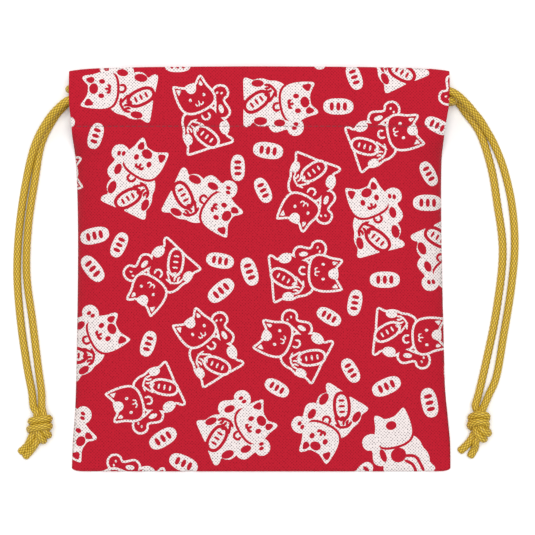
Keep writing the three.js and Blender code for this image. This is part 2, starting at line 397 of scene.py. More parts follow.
def loose_knot():
    """Two strands side by side along a loose overhand knot."""
    t = np.linspace(KNOT_OPEN - np.pi, np.pi - KNOT_OPEN, 400)
    loop = np.stack([
        KNOT_SCALE * (np.sin(t) + 2 * np.sin(2 * t)),
        KNOT_SCALE * (np.cos(t) - 2 * np.cos(2 * t)),
        -KNOT_LIFT * np.sin(3 * t),
    ], 1)
    lead = KNOT_SCALE * np.array([(9, -3.4, 0), (5, -3.4, 0), (2.6, -3.2, 0)])
    tail = lead[::-1] * (-1, 1, 1)
    lead[2, 2] = loop[0, 2] / 2
    tail[0, 2] = loop[-1, 2] / 2
    line = evenly(np.vstack([lead, loop, tail]), 0.5)
    for _ in range(KNOT_EASINGS):
        line[1:-1] += 0.5 * ((line[:-2] + line[2:]) / 2 - line[1:-1])
    line = evenly(line, 0.5)
    sides = carried_sides(unit(np.gradient(line, axis=0)))
    pair = [evenly(line + sides * half, 1.0) for half in (CORD_D / 2, -CORD_D / 2)]
    count = min(len(strand) for strand in pair)
    return np.stack([
        strand[np.linspace(0, len(strand) - 1, count).round().astype(int)] for strand in pair
    ])


def tighten(pair, step, rounds, pull=0.0, shrink=1.0, bend=0.12):
    """Pulls the ends apart, or shortens the strands between fixed ends, without letting them meet."""
    count = pair.shape[1]
    p = pair.reshape(-1, 3).copy()
    strand = np.repeat([0, 1], count)
    place = np.tile(np.arange(count), 2)
    apart = np.abs(place[:, None] - place[None]) * step
    first, second = np.where(np.triu((strand[:, None] != strand[None]) | (apart > KNOT_GAP * 1.7), 1))
    starts = [0, count]
    ends = [count - 1, 2 * count - 1]
    axis = p[count - 1] - p[0]
    axis /= np.linalg.norm(axis)
    held = p[starts + ends].copy()
    q = p.reshape(2, count, 3)
    for turn in range(rounds):
        step *= shrink
        move = pull * min(1, (1 - turn / rounds) * 4)
        p[starts] -= axis * move
        p[ends] += axis * move
        for _ in range(8):
            for odd in (0, 1):
                ahead = q[:, odd + 1::2]
                behind = q[:, odd:-1:2][:, :ahead.shape[1]]
                gap = ahead - behind
                size = np.linalg.norm(gap, axis=2)[..., None]
                fix = (size - step) / size * gap / 2
                behind += fix
                ahead -= fix
        if not pull:
            p[starts + ends] = held
        q[:, 1:-1] += bend * ((q[:, :-2] + q[:, 2:]) / 2 - q[:, 1:-1])
        if turn % 3 == 0:
            near = np.linalg.norm(p[first] - p[second], axis=1) < KNOT_GAP * 2
            a = first[near]
            b = second[near]
        for _ in range(2):
            between = p[a] - p[b]
            size = np.maximum(np.linalg.norm(between, axis=1), 1e-6)
            hit = size < KNOT_GAP
            push = ((KNOT_GAP - size[hit]) / size[hit] / 2)[:, None] * between[hit]
            moved = np.zeros_like(p)
            met = np.zeros(len(p))
            np.add.at(moved, a[hit], push)
            np.add.at(moved, b[hit], -push)
            np.add.at(met, a[hit], 1)
            np.add.at(met, b[hit], 1)
            p += moved / np.maximum(met * 0.6, 1)[:, None]
    return q.copy()


def tight_knot():
    """A double overhand knot pulled tight, centred, with its standing part towards +Y."""
    pair = tighten(loose_knot(), 1.0, PULL_ROUNDS, pull=0.5)
    for _ in range(SHRINK_PASSES):
        step = np.linalg.norm(np.diff(pair, axis=1), axis=2).mean()
        pair = tighten(pair, step, SHRINK_ROUNDS, shrink=0.9996, bend=0.06)
    middle = pair.shape[1] // 2
    pair = pair - pair[:, middle - 30:middle + 30].reshape(-1, 3).mean(0)
    axis = mathutils.Vector(pair[0, -1] - pair[0, 0])
    turn = np.array(axis.rotation_difference(mathutils.Vector((0, -1, 0))).to_matrix())
    return pair @ turn.T


def turned(points, axis, degrees):
    """The points turned about an axis through the origin."""
    matrix = np.array(mathutils.Matrix.Rotation(math.radians(degrees), 3, axis))
    return points @ matrix.T


def tied_line(route, centre, pair, tails):
    """The whole cord in one line: from a cut tail through the knot, round the route and out again.

    Returns the line, how far it is squeezed at each point, and where the knot's two stretches end."""
    strands = []
    for strand in pair:
        inner = np.where(np.linalg.norm(strand - centre, axis=1) < KNOT_BODY)[0]
        strands.append(strand[inner[0]:inner[-1] + 1])
    strands.sort(key=lambda strand: np.linalg.norm(strand[0, :2] - np.array(route[0])[:2]))
    tails = sorted(tails, key=lambda tail: np.linalg.norm(strands[0][-1, :2] - np.array(tail[0])[:2]))
    first = np.vstack([strands[0], tails[0]])
    last = np.vstack([strands[1], tails[1]])
    line = smooth_line(np.vstack([first[::-1], route, last]), RING_STEP)
    away = np.linalg.norm(line - centre, axis=1)
    near = away < KNOT_EASED
    near[[0, 1, -2, -1]] = False
    near = near[1:-1, None]
    for _ in range(12):
        line[1:-1] += near * 0.5 * ((line[:-2] + line[2:]) / 2 - line[1:-1])
    squeeze = KNOT_SQUEEZE + (1 - KNOT_SQUEEZE) * np.clip((away - KNOT_TIGHT) / KNOT_FADE, 0, 1)
    line[:, 2] = np.maximum(line[:, 2], (CORD_D / 2 + BRAID_BUMP) * squeeze)
    joins = [np.linalg.norm(line - np.array(end), axis=1).argmin() for end in (route[0], route[-1])]
    return line, squeeze, joins


def make_cord(side, route, centre, roll, tails):
    """A drawcord and the knot that joins its two ends."""
    pair = turned(turned(KNOT, "Y", roll) * KNOT_STRETCH, "Z", KNOT_LEAN) + centre
    line, squeeze, (first, last) = tied_line(route, centre, pair, tails)
    rings, along = braided_rings(line, squeeze)
    cord = cord_piece(side + "_drawcord", [(rings[first:last + 1], along[first:last + 1])])
    knot = cord_piece(
        side + "_drawcord_knot",
        [(rings[:first + 1], along[:first + 1]), (rings[last:], along[last:])],
    )
    for piece, node in ((cord, side + "_cord"), (knot, side + "_knot")):
        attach(piece, "root")
        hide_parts(node)


KNOT = tight_knot()
# Each knot's middle, its turn about the cord's direction, and the last points of its two cut tails.
make_cord("left", LEFT_ROUTE, (-93.2, -66.8, 5.1), 180, [
    [(-98.6, -74.4, 2.6), (-101.9, -77.3, FLOOR_Z)], [(-96.8, -75.9, 2.8), (-99.9, -79.3, FLOOR_Z)],
])
make_cord("right", RIGHT_ROUTE, (92.0, -65.9, 5.1), 135, [
    [(87.4, -73.6, 2.6), (84.0, -76.9, FLOOR_Z)], [(90.7, -74.9, 2.6), (88.4, -79.2, FLOOR_Z)],
])


# -------------------- the cloth's shape

CLOTH_HALF = 80.0
THICKNESS = 0.4
FOLD_Y = 83.7
TIP_Y = 84.3
MOUTH_REACH = TOP_Y - TIP_Y
BOTTOM_REACH = TOP_Y - FOLD_Y
HEM_Y = 54.0
EDGE_Z = 1.1
FLAP_HALF = 74.0
CORNER_DROP = 2.0


def cubic_weights(t):
    """What a cubic's start, its slope there, its end and its slope there count for at t."""
    return 2 * t ** 3 - 3 * t ** 2 + 1, t ** 3 - 2 * t ** 2 + t, 3 * t ** 2 - 2 * t ** 3, t ** 3 - t ** 2


def through_points(pairs):
    """A smooth line through (y, value) pairs, held level past both ends."""
    ys, values = np.array(pairs, float).T
    order = np.arange(len(ys))
    before = np.maximum(order - 1, 0)
    after = np.minimum(order + 1, len(ys) - 1)
    slopes = (values[after] - values[before]) / (ys[after] - ys[before])

    def value_at(y):
        y = np.clip(y, ys[0], ys[-1])
        i = np.clip(np.searchsorted(ys, y, side="right") - 1, 0, len(ys) - 2)
        h = ys[i + 1] - ys[i]
        t = (y - ys[i]) / h
        start, leave, end, arrive = cubic_weights(t)
        low = start * values[i] + leave * h * slopes[i]
        high = end * values[i + 1] + arrive * h * slopes[i + 1]
        return low + high
    return value_at


# The side edges draw in a little at mid height and flare at the mouth and the bottom.
left_edge = through_points([
    (-85, -79.9), (-71, -79.3), (-61, -78.5), (-38, -77.8), (9, -77.2),
    (38, -77.7), (60, -79.2), (72, -80.2), (85, -80.2),
])
right_edge = through_points([
    (-85, 80.4), (-73, 80.2), (-63, 79.3), (-50, 78.1), (-38, 77.7), (9, 76.6),
    (38, 76.4), (57, 77.1), (69, 78.8), (78, 79.2), (85, 79.2),
])
# Heights of the middle of each layer's thickness, along the middle of the pouch.
front_height = through_points([
    (-85, 2.4), (-78, 3.4), (-65, 5.2), (-40, 7.2), (0, 9.2), (38, 11.4), (54, 12.9),
    (60, 12.75), (65, 13.15), (69, 13.35), (79, 13.35), (82, 13.05), (85, 12.5),
])
# How far each casing's inner layer lies from its outer one.
front_casing = through_points([
    (53, 0.45), (60, 0.45), (65.5, 2.75), (68.5, 3.7), (79, 3.7), (82, 2.55), (85, 1.0),
])
back_casing = through_points([
    (53, 0.45), (60, 0.45), (64.5, 2.9), (68, 4.15), (79, 4.15), (82, 2.6), (85, 1.0),
])


def smoothstep(low, high, value):
    t = np.clip((value - low) / (high - low), 0, 1)
    return t * t * (3 - 2 * t)


def wrinkles(x, y):
    """Slow unevenness of cloth that has been folded and laid flat, about a quarter of a millimetre."""
    waves = (
        (0.13, 0.071, 0.033, 0.4), (0.10, -0.043, 0.097, 1.9), (0.08, 0.117, -0.078, 3.1),
        (0.05, 0.19, 0.06, 5.0), (0.04, -0.09, 0.23, 2.2),
    )
    return sum(size * np.sin(x * ax + y * ay + phase) for size, ax, ay, phase in waves)


def puckers(s, y):
    """The short ripples that a side seam's stitches draw along its edge."""
    near = np.exp(-(1 - np.abs(s)) * CLOTH_HALF / 4.5)
    side = np.where(s < 0, 1.3, 4.1)
    return 0.16 * near * np.sin(2 * np.pi * y / 8.3 + 1.4 * np.sin(y / 13 + side) + side)


def crease(y):
    """How far the casing's stitches draw the cloth in."""
    return 0.3 * np.exp(-((y - STITCH_Y) / 0.8) ** 2)


def seamed(y):
    """How closely the two panels are held together at their sides: 1 below the slits, 0 above."""
    return 1 - smoothstep(SLIT_Y - 3, STITCH_Y + 1, y)


def front_z(s, y):
    """The height of the front panel at s across it, from -1 to 1, and y along it."""
    full = front_height(y) - crease(y)
    seam = seamed(y)
    side = np.clip(1 - np.abs(s) ** 8, 0, 1) ** 0.7
    closed = EDGE_Z + (full - EDGE_Z) * side
    opened = full - 0.1 * np.abs(s) ** 12
    fade = np.clip(1 - np.abs(s) ** 10, 0, 1) * smoothstep(-TOP_Y, -TOP_Y + 6, y)
    fade = fade * (1 - 0.7 * smoothstep(STITCH_Y - 4, STITCH_Y + 4, y))
    rough = wrinkles(s * CLOTH_HALF, y) * fade
    pucker = puckers(s, y) * seam * smoothstep(0.0, 0.25, side)
    return seam * closed + (1 - seam) * opened + rough + pucker


def back_z(s, y):
    """The height of the back panel, which lies flat and rises only into the side seams."""
    rise = 1 - np.clip(1 - np.abs(s) ** 30, 0, 1) ** 0.5
    return THICKNESS / 2 + crease(y) + (EDGE_Z - THICKNESS / 2) * rise * seamed(y)


# Distances along the sheet, from the front casing's hem over the mouth, down the front,
# round the bottom fold, up the back and down into the back casing.
FLAP_LENGTH = TIP_Y - HEM_Y
MOUTH_FOLD = 1.7
PANEL_LENGTH = TIP_Y + FOLD_Y
BOTTOM_FOLD = 3.5
V_FLAP_END = FLAP_LENGTH
V_FRONT = V_FLAP_END + MOUTH_FOLD
V_FRONT_END = V_FRONT + PANEL_LENGTH
V_BACK = V_FRONT_END + BOTTOM_FOLD
V_BACK_END = V_BACK + PANEL_LENGTH
V_BACK_FLAP = V_BACK_END + MOUTH_FOLD
V_END = V_BACK_FLAP + FLAP_LENGTH
V_TIP = V_FLAP_END + MOUTH_FOLD / 2


def folded(u, v):
    """Where the flat sheet's point (u, v) lies in the made-up pouch, at the middle of its thickness."""
    s = u / CLOTH_HALF
    front_reach = front_casing(TIP_Y) / 2
    front_mid = front_z(s, TIP_Y) - front_reach
    back_reach = back_casing(TIP_Y) / 2
    back_mid = back_z(s, TIP_Y) + back_reach
    low_mid = (front_z(s, -FOLD_Y) + back_z(s, -FOLD_Y)) / 2
    low_reach = (front_z(s, -FOLD_Y) - back_z(s, -FOLD_Y)) / 2

    turn_in = (v - V_FLAP_END) / MOUTH_FOLD * np.pi - np.pi / 2
    turn_low = np.pi / 2 - (v - V_FRONT_END) / BOTTOM_FOLD * np.pi
    turn_out = (v - V_BACK_END) / MOUTH_FOLD * np.pi - np.pi / 2
    corner = 1 - 0.9 * np.abs(s) ** 60

    y_flap = HEM_Y + v
    y_front = TIP_Y - (v - V_FRONT)
    y_back = -FOLD_Y + (v - V_BACK)
    y_back_flap = TIP_Y - (v - V_BACK_FLAP)
    ends = (V_FLAP_END, V_FRONT, V_FRONT_END, V_BACK, V_BACK_END, V_BACK_FLAP)
    parts = [v < end for end in ends]
    y = np.select(parts, [
        y_flap,
        TIP_Y + MOUTH_REACH * np.cos(turn_in),
        y_front,
        -FOLD_Y - BOTTOM_REACH * corner * np.cos(turn_low),
        y_back,
        TIP_Y + MOUTH_REACH * np.cos(turn_out),
    ], y_back_flap)
    z = np.select(parts, [
        front_z(s, y_flap) - front_casing(y_flap),
        front_mid + front_reach * np.sin(turn_in),
        front_z(s, y_front),
        low_mid + low_reach * np.sin(turn_low),
        back_z(s, y_back),
        back_mid + back_reach * np.sin(turn_out),
    ], back_z(s, y_back_flap) + back_casing(y_back_flap))
    low = left_edge(y) + THICKNESS / 2
    high = right_edge(y) - THICKNESS / 2
    x = (low + high) / 2 + s * (high - low) / 2
    drop = CORNER_DROP * (0.45 * s ** 2 + 0.55 * np.abs(s) ** 12)
    y = y - drop * np.clip((y - STITCH_Y) / (TOP_Y - STITCH_Y), 0, 1)
    return np.stack([x, y, z], -1)


def outward(u, v):
    """The direction that the printed side faces at (u, v)."""
    step = 0.04
    across = folded(np.minimum(u + step, CLOTH_HALF), v) - folded(np.maximum(u - step, -CLOTH_HALF), v)
    down = folded(u, np.minimum(v + step, V_END)) - folded(u, np.maximum(v - step, 0))
    return unit(np.cross(down, across))


def on_front(points):
    """The flat sheet's points that come to lie at these (x, y) places of the front panel."""
    x, y = np.asarray(points, float).T
    left = left_edge(y)
    right = right_edge(y)
    u = (x - (left + right) / 2) * 2 * CLOTH_HALF / (right - left)
    return np.stack([u, V_TIP + TOP_Y - y], 1)


# -------------------- the print's motifs

RED = 0
WHITE = 1
REVERSE = 2
LINE = 0.95


def smooth_loop(points, spacing):
    """A smooth closed outline through the points."""
    p = np.array(points, float)
    n = len(p)
    pieces = []
    for i in range(n):
        a, b, c, d = (p[(i + k) % n] for k in (-1, 0, 1, 2))
        steps = max(int(round(np.linalg.norm(c - b) / spacing)), 1)
        t = (np.arange(steps) / steps)[:, None]
        m0 = (c - a) / 2
        m1 = (d - b) / 2
        scale = np.linalg.norm(c - b)
        m0 = m0 * min(1, scale / max(np.linalg.norm(m0), 1e-9))
        m1 = m1 * min(1, scale / max(np.linalg.norm(m1), 1e-9))
        start, leave, end, arrive = cubic_weights(t)
        pieces.append(start * b + leave * m0 + end * c + arrive * m1)
    return np.vstack(pieces)


def laid(x, y, turn, centre):
    """The points (x, y) turned by an angle in degrees and moved to the centre."""
    c = math.cos(math.radians(turn))
    s = math.sin(math.radians(turn))
    return np.stack([centre[0] + x * c - y * s, centre[1] + x * s + y * c], 1)


def oval(centre, radii, turn, spacing, power=2.0):
    """An oval outline, squarer at a higher power, turned by an angle in degrees."""
    count = max(int(round(np.pi * (radii[0] + radii[1]) / spacing)), 8)
    angle = angles_round(count)
    c = np.cos(angle)
    s = np.sin(angle)
    x = radii[0] * np.sign(c) * np.abs(c) ** (2 / power)
    y = radii[1] * np.sign(s) * np.abs(s) ** (2 / power)
    return laid(x, y, turn, centre)


def grown(outline, distance):
    """The outline moved outwards by distance, or inwards if it is negative."""
    ahead = np.roll(outline, -1, 0) - np.roll(outline, 1, 0)
    normal = unit(np.stack([ahead[:, 1], -ahead[:, 0]], 1))
    x, y = outline.T
    area = np.sum(x * np.roll(y, -1) - y * np.roll(x, -1))
    return outline + normal * distance * np.sign(area)


def stroke(points, width, spacing):
    """A brushed line through the points, as an outline."""
    p = with_leads(points)
    line = []
    for i in range(1, len(p) - 2):
        steps = max(int(round(np.linalg.norm(p[i + 1] - p[i]) / spacing)), 1)
        t = (np.arange(steps) / steps)[:, None]
        m0 = (p[i + 1] - p[i - 1]) / 2
        m1 = (p[i + 2] - p[i]) / 2
        start, leave, end, arrive = cubic_weights(t)
        line.append(start * p[i] + leave * m0 + end * p[i + 1] + arrive * m1)
    line = np.vstack(line + [p[-2][None]])
    ahead = unit(np.gradient(line, axis=0))
    normal = np.stack([-ahead[:, 1], ahead[:, 0]], 1)
    taper = np.full(len(line), width / 2)
    taper[[0, -1]] *= 0.55
    left = line + normal * taper[:, None]
    right = line - normal * taper[:, None]
    start = line[0] - ahead[0] * width * 0.3
    end = line[-1] + ahead[-1] * width * 0.3
    return np.vstack([start, left, end, right[::-1]])


def coin(spacing, size=1):
    """A coin oval with its three slots."""
    shapes = [(oval((0, 0), (6.3 * size, 3.4 * size), 0, spacing, 2.5), WHITE)]
    for place in (-2.75, 0, 2.75):
        shapes.append((oval((place * size, 0), (0.92 * size, 1.8 * size), 0, spacing, 2.3), RED))
    return shapes


HEAD = [
    (-8.3, 28.7), (-7.9, 29.5), (-7.1, 29.4), (-4.7, 28.3), (-2.8, 27.7), (-0.6, 27.8),
    (1.3, 28.3), (2.6, 29.9), (3.8, 31.0), (4.6, 31.0), (5.2, 30.2), (6.3, 26.6), (7.8, 23.6),
    (8.4, 20.8), (7.5, 18.4), (5.2, 16.8), (1.6, 15.8), (-2.2, 15.5), (-5.2, 16.3),
    (-7.0, 18.2), (-8.0, 21.2), (-8.4, 25.0),
]
CHIN = HEAD[14:20]
TORSO = [
    (-6.8, 17.0), (-8.6, 14.0), (-8.9, 10.6), (-9.7, 8.0), (-9.6, 5.6), (-9.1, 3.8),
    (-10.0, 1.2), (-9.9, 0.1), (-9.1, -0.3), (-4.0, -0.2), (0.0, 0.0), (4.0, -0.2),
    (9.2, -0.2), (10.3, 0.3), (10.5, 1.4), (9.7, 2.7), (8.6, 3.8), (9.9, 5.6), (10.4, 7.2),
    (10.0, 9.4), (9.0, 11.4), (7.6, 13.6), (6.2, 16.4), (3.0, 18.0), (-2.0, 18.2),
]
ARM = [
    (6.4, 11.1), (8.2, 10.4), (10.2, 10.3), (11.6, 11.1), (12.6, 12.4), (12.7, 14.1),
    (11.9, 16.5), (11.6, 18.1), (13.2, 18.9), (14.2, 20.9), (13.6, 23.5), (11.5, 24.9),
    (9.1, 24.8), (7.2, 23.4), (6.6, 21.3), (7.1, 19.1), (6.4, 16.5), (5.6, 13.7),
]
FACE_LINES = [
    [(-0.7, 19.7), (-0.3, 18.8), (0.5, 18.7), (0.9, 19.6)],
    [(0.9, 19.6), (1.5, 18.9), (2.3, 19.1), (2.6, 20.0)],
    [(0.9, 19.6), (0.85, 20.7)],
]
ARM_LINES = [
    [(-4.6, 13.5), (-2.4, 12.2), (0.0, 10.6)],
    [(-6.6, 11.2), (-5.6, 9.9), (-5.6, 8.8)],
    [(-4.9, 11.6), (-4.2, 10.2), (-4.6, 9.0)],
]
PAW_LINES = [
    [(-2.0, 13.4), (-4.6, 13.0), (-6.8, 10.9), (-7.0, 8.6)],
    [(-3.2, 10.8), (-2.6, 9.6), (-3.2, 8.6)],
]
BELL = [(0.5, 14.6), (0.9, 12.9), (2.4, 12.3), (3.7, 13.3), (3.3, 14.9)]


def held_coin(kind, spacing):
    """The coin that the figure holds, drawn as its outline and slots."""
    place = (0.0, 5.3)
    turn = -54
    line = 0.5 if kind == "outline" else 0.7
    rim, middle, slot_size = (
        (WHITE, RED, (0.42, 1.15)) if kind == "outline" else (RED, WHITE, (0.55, 1.35))
    )
    shapes = [
        (oval(place, (5.6 + line, 3.1 + line), turn, spacing, 2.4), rim),
        (oval(place, (5.6 - line, 3.1 - line), turn, spacing, 2.4), middle),
    ]
    for step in (-2.4, 0, 2.4):
        centre = (
            place[0] + step * math.cos(math.radians(turn)),
            place[1] + step * math.sin(math.radians(turn)),
        )
        shapes.append((oval(centre, slot_size, turn, spacing * 0.8, 2.4), rim))
    return shapes


def cat(kind, spacing, paws=1):
    """A plain sitting cat with a raised paw and a coin: drawn in outline, filled, or from behind."""
    outline = kind == "outline"
    ink = WHITE if outline else RED
    head = smooth_loop(HEAD, spacing)
    body = [smooth_loop(TORSO, spacing), smooth_loop(ARM, spacing)]
    if paws == 2:
        body.append(smooth_loop([(-x - 1.0, y) for x, y in ARM], spacing))
    fine = spacing * 0.8
    shapes = [(part, WHITE) for part in body]
    if outline:
        shapes += [(grown(part, -LINE), RED) for part in body]
        shapes += [(head, WHITE), (grown(head, -LINE), RED)]
    else:
        shapes += [(stroke(CHIN, 2.1, spacing), RED), (head, WHITE)]
    if kind == "behind":
        shapes.append((oval((-0.2, 24.6), (2.3, 1.9), 10, spacing), RED))
        shapes.append((oval((2.0, 11.8), (3.3, 3.1), 0, spacing), RED))
        for tail in ([(-0.5, 10.5), (-4.4, 8.0), (-5.2, 1.4)], [(0.4, 8.6), (-1.9, 5.6), (-1.9, 1.0)]):
            shapes.append((stroke(tail, 1.3, spacing), RED))
        shapes.append((oval((8.0, 14.2), (1.3, 2.9), 4, spacing), RED))
        return shapes
    if outline:
        patch = [(-2.9, 28.0), (-2.8, 25.6), (-1.7, 24.4), (-0.2, 24.3), (1.0, 25.3), (1.3, 28.3)]
        shapes.append((smooth_loop(patch, spacing), WHITE))
    else:
        shapes.append((oval((0.1, 25.5), (2.35, 1.9), 10, spacing), RED))
    ears = (
        [(-7.1, 27.6), (-4.9, 26.9), (-5.7, 25.6), (-6.6, 24.8)],
        [(3.6, 29.0), (4.6, 27.2), (4.0, 26.3), (2.6, 27.0)],
    )
    for ear in ears:
        shapes.append((grown(smooth_loop(ear, fine), -0.2 if outline else 0.45), ink))
    eye = (0.62, 0.75) if outline else (1.05, 1.3)
    for place in ((-2.4, 21.8), (3.7, 22.6)):
        shapes.append((oval(place, eye, 0, fine), ink))
    face_line = 0.6 if outline else 1.3
    for line in FACE_LINES:
        shapes.append((stroke(line, face_line, fine), ink))
    shapes += held_coin(kind, spacing)
    arm_line = 0.75 if outline else 1.15
    for line in ARM_LINES + PAW_LINES:
        shapes.append((stroke(line, arm_line, fine), ink))
    shapes.append((stroke(BELL, 0.85 if outline else 1.1, fine), ink))
    if outline:
        spots = (((-7.7, 6.3), (1.7, 2.4)), ((8.1, 6.9), (2.0, 2.8)), ((9.0, 14.9), (1.0, 1.9)))
    else:
        spots = (((-7.7, 5.7), (1.5, 2.6)), ((8.0, 6.9), (1.7, 2.8)), ((8.8, 14.9), (1.5, 2.4)))
    for place, radii in spots:
        shapes.append((oval(place, radii, 0, spacing), ink))
    mark = (0.6, 0.42) if outline else (0.8, 1.1)
    for place in ((9.2, 21.8), (11.0, 21.1)):
        shapes.append((oval(place, mark, 30 if outline else 0, fine), ink))
        if paws == 2:
            shapes.append((oval((-place[0] - 1, place[1]), mark, 0, fine), ink))
    if paws == 2:
        shapes.append((oval((-9.6, 14.9), (1.5, 2.4), 0, spacing), ink))
    if not outline:
        shapes.append((smooth_loop([(-1.0, -0.9), (0.0, 0.9), (1.0, -0.9)], fine), RED))
    return shapes


# The front's print: kind, base middle (x, y), turn in degrees, mirrored or not, raised paws.
FRONT_CATS = [
    ("outline", -21.0, 50.4, 16, False, 1), ("filled", -6.9, 70.1, -90, False, 1),
    ("outline", 24.2, 46.2, 160, True, 1), ("filled", -37.2, 33.6, -116, True, 1),
    ("outline", 4.4, -4.2, -83, True, 1), ("outline", -15.6, -44.9, 30, False, 1),
    ("outline", 26.3, -39.5, 62, False, 1), ("filled", -23.3, -73.1, -68, False, 2),
    ("filled", 37.2, -53.0, 147, False, 1), ("filled", -57.8, 25.0, -24, True, 1),
    ("outline", -32.0, 7.1, 137, False, 1), ("filled", -83.7, -39.2, -56, True, 1),
    ("filled", 61.5, 78.1, 25, False, 1), ("outline", 38.7, 49.6, -69, True, 1),
    ("filled", 50.6, 7.4, 14, False, 1), ("filled", 72.5, 18.5, -156, False, 1),
    ("outline", 48.1, -25.6, -96, False, 1), ("filled", -44.8, 71.2, 79, False, 1),
    ("outline", -35.7, -47.2, 115, True, 1), ("filled", -98.9, -61.0, -117, True, 1),
    ("behind", 65.0, -88.2, 24, True, 1), ("outline", -41.4, -94.0, 84, False, 1),
    ("outline", 92.8, 91.6, 168, False, 1), ("outline", -105.2, 37.4, -80, True, 1),
]
# The front's loose coins: centre (x, y), the turn of the long side in degrees, and the size.
SMALL = 0.87
FRONT_COINS = [
    (32.6, 68.2, 0, 1), (39.3, 80.6, -70, SMALL), (3.2, 49.8, -8, 1), (-9.5, 42.6, 90, SMALL),
    (1.1, 33.2, -65, SMALL), (-17.0, 3.8, -10, 0.93), (-4.6, -0.8, -72, 0.95), (-16.6, -8.8, 40, 1),
    (28.8, -19.7, -30, SMALL), (39.7, -13.9, 80, SMALL), (-69.9, 14.3, 12, 1), (-59.4, 10.4, 65, SMALL),
    (-70.8, 0.4, -50, 1), (-47.3, -31.1, 72, SMALL), (74.0, 60.3, -27, SMALL), (70.8, 40.3, -60, SMALL),
    (70.4, 28.1, 0, 1), (52.3, -4.2, 0, 1), (6.9, -49.7, -30, SMALL), (38.0, -42.4, -60, SMALL),
    (-32.6, -81.8, -25, 1), (-69.1, 56.0, 72, SMALL), (-41.2, -71.1, 32, 1), (53.1, -49.1, 24, 1),
    (71.4, -56.1, -77, 1), (43.2, -86.0, 50, SMALL), (-34.7, 85.6, 0, SMALL), (24.8, 90.0, 90, 1),
    (81.0, -42.5, 90, 1), (-83.2, 61.8, 0, SMALL),
]
FRONT_SPACING = 0.7
BACK_SPACING = 1.3
# The back's print is regular: rows of figures with coins between, every other row shifted.
BACK_KINDS = ("outline", "filled", "outline", "filled", "filled")
BACK_ROWS = 6
BACK_COLUMNS = 4
BACK_START = (-62, 32)
BACK_PITCH = (41, 31.5)
BACK_SHIFTS = (-3, 14)
BACK_TURN = 137.5
FIGURE_MIDDLE = 14.0


def placed(shapes, x, y, turn, mirrored):
    """The shapes moved to (x, y), after turning and perhaps mirroring."""
    flip = -1 if mirrored else 1
    return [(laid(flip * shape[:, 0], shape[:, 1], turn, (x, y)), ink) for shape, ink in shapes]


def printed_motifs():
    """Every motif on the sheet: a list of painted outlines each, in the flat sheet's own (u, v)."""
    front = []
    for kind, x, y, turn, mirrored, paws in FRONT_CATS:
        front.append(placed(cat(kind, FRONT_SPACING, paws), x, y, turn, mirrored))
    for x, y, turn, size in FRONT_COINS:
        front.append(placed(coin(FRONT_SPACING, size), x, y, turn, False))
    motifs = [[(on_front(outline), ink) for outline, ink in shapes] for shapes in front]
    number = 0
    for row in range(BACK_ROWS):
        for column in range(BACK_COLUMNS):
            u = BACK_START[0] + BACK_PITCH[0] * column + BACK_SHIFTS[row % 2]
            v = V_BACK + BACK_START[1] + BACK_PITCH[1] * row
            turn = BACK_TURN * number
            x = u + FIGURE_MIDDLE * math.sin(math.radians(turn))
            y = v - FIGURE_MIDDLE * math.cos(math.radians(turn))
            kind = BACK_KINDS[number % len(BACK_KINDS)]
            motifs.append(placed(cat(kind, BACK_SPACING), x, y, turn, number % 3 == 0))
            coin_turn = 90 + 25 * math.sin(number)
            motifs.append(placed(coin(BACK_SPACING, SMALL), u + BACK_PITCH[0] / 2, v, coin_turn, False))
            number += 1
    return motifs


# -------------------- the cloth's mesh

# How far apart the mesh's points lie, in millimetres.
FRONT_STEP = 2.2
FLAP_STEP = 2.4
BACK_STEP = 4.0
FOLD_STEP = 0.28
BOTTOM_STEP = 0.44
STITCH_STEP = 0.45
EDGE_STEP = 1.5


def side_places():
    """Places across the sheet, closer together towards the sewn edges."""
    inner = np.linspace(-76, 76, 71)
    outer = np.array([77.2, 78.1, 78.8, 79.3, 79.65, 79.88, CLOTH_HALF])
    return np.concatenate([-outer[::-1], inner, outer])


def length_places():
    """Places along the sheet, closer together at the folds and the stitch line."""
    def span(low, high, step):
        return np.linspace(low, high, max(int(round((high - low) / step)), 1), endpoint=False)
    v_stitch = V_FRONT + TIP_Y - STITCH_Y
    return np.concatenate([
        span(0, V_FLAP_END - 3, FLAP_STEP), span(V_FLAP_END - 3, V_FLAP_END, 1.0),
        span(V_FLAP_END, V_FRONT, FOLD_STEP), span(V_FRONT, V_FRONT + 4, 1.0),
        span(V_FRONT + 4, v_stitch - 2.5, FRONT_STEP),
        span(v_stitch - 2.5, v_stitch + 2.5, STITCH_STEP),
        span(v_stitch + 2.5, V_FRONT_END - 4, FRONT_STEP),
        span(V_FRONT_END - 4, V_FRONT_END, 1.2), span(V_FRONT_END, V_BACK, BOTTOM_STEP),
        span(V_BACK, V_BACK_END - 3, BACK_STEP), span(V_BACK_END - 3, V_BACK_END, 1.0),
        span(V_BACK_END, V_BACK_FLAP, FOLD_STEP), span(V_BACK_FLAP, V_END, FLAP_STEP), [V_END],
    ])


def sheet_outline():
    """The flat sheet's outline. The casing layers are narrower, to leave the slits clear."""
    notch = V_FLAP_END - 1.8
    right = [
        (FLAP_HALF, 0), (FLAP_HALF, notch), (CLOTH_HALF, V_FLAP_END),
        (CLOTH_HALF, V_BACK_FLAP), (FLAP_HALF, V_END - notch), (FLAP_HALF, V_END),
    ]
    left = [(-u, v) for u, v in reversed(right)]
    return np.array(right + left, float)


def inside(points, outline):
    """Which of the points lie inside the outline."""
    x, y = points.T
    found = np.zeros(len(points), bool)
    x0, y0 = outline.T
    x1, y1 = np.roll(outline, -1, 0).T
    for ax, ay, bx, by in zip(x0, y0, x1, y1):
        if ay == by:
            continue
        crosses = (ay > y) != (by > y)
        found ^= crosses & (x < ax + (y - ay) * (bx - ax) / (by - ay))
    return found


